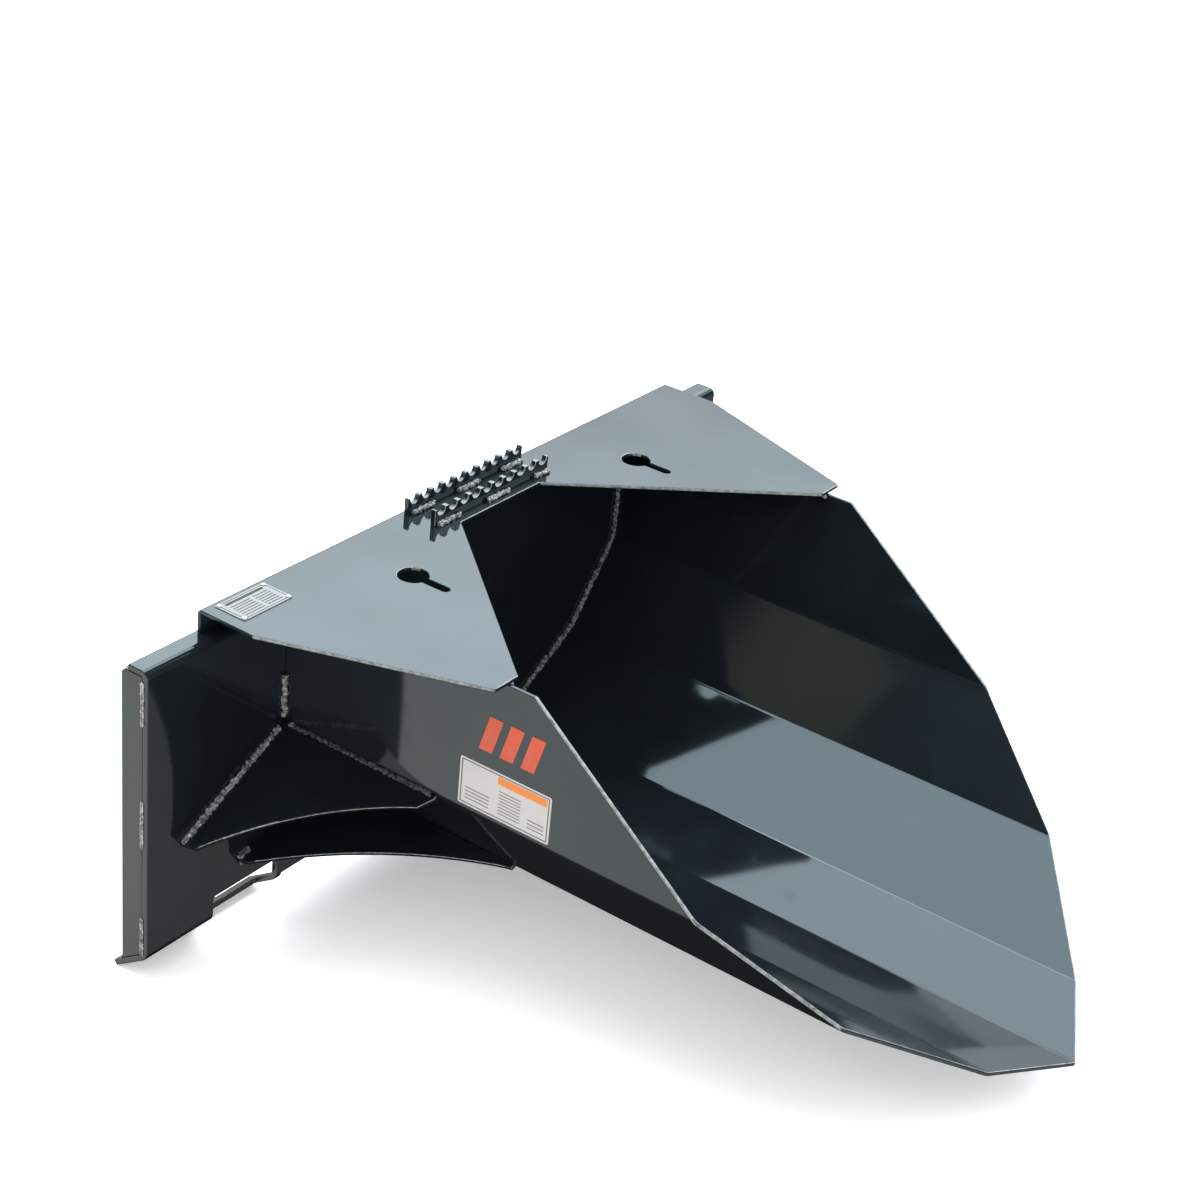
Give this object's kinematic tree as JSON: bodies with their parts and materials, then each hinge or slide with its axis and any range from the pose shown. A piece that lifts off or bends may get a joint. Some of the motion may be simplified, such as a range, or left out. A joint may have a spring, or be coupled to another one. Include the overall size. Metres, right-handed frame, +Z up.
{
  "type": "skid steer bucket",
  "caption": "Pointed spade bucket for a skid steer: V-fronted folded trough, notched top plate, gussets and a universal quick-attach plate.",
  "frame": {"origin": "centre of the quick-attach plate's rear face, where it meets the carrier", "axes": "+Y out of the attach plate's rear face towards the carrier, +Z up with the attach plate upright, X across, and the trough points to -Y. X = 0 is the plane of symmetry."},
  "size_m": [1.1524, 0.9938, 0.4835],
  "materials": {
    "black_paint": "gloss powder coat, near black with a blue-green cast",
    "weld_paint": "knobbly bead under thin gloss paint",
    "data_plate_aluminium": "satin printed plate, blank",
    "rivet_steel": "domed rivet heads",
    "white_film": "gloss film, text-free",
    "orange_film": "gloss film, plain stripes"
  },
  "bodies": {
    "root": {"quick_attach_plate": "black_paint", "left_end_plate": "black_paint", "right_end_plate": "black_paint", "top_plate": "black_paint", "trough": "black_paint", "left_upper_gusset": "black_paint", "right_upper_gusset": "black_paint", "left_lower_gusset": "black_paint", "right_lower_gusset": "black_paint", "rear_step_bar": "black_paint", "front_step_bar": "black_paint", "trough_inner_weld": "weld_paint", "deck_flange_weld": "weld_paint", "rear_step_bar_weld": "weld_paint", "front_step_bar_weld": "weld_paint", "left_trough_outer_weld": "weld_paint", "right_trough_outer_weld": "weld_paint", "left_upper_gusset_weld": "weld_paint", "right_upper_gusset_weld": "weld_paint", "left_lower_gusset_weld": "weld_paint", "right_lower_gusset_weld": "weld_paint", "left_end_plate_weld": "weld_paint", "right_end_plate_weld": "weld_paint", "left_wing_weld": "weld_paint", "right_wing_weld": "weld_paint", "data_plate": "data_plate_aluminium", "data_plate_rivets": "rivet_steel", "left_white_decal": "white_film", "left_stripe_decal": "orange_film"}
  },
  "joints": []
}
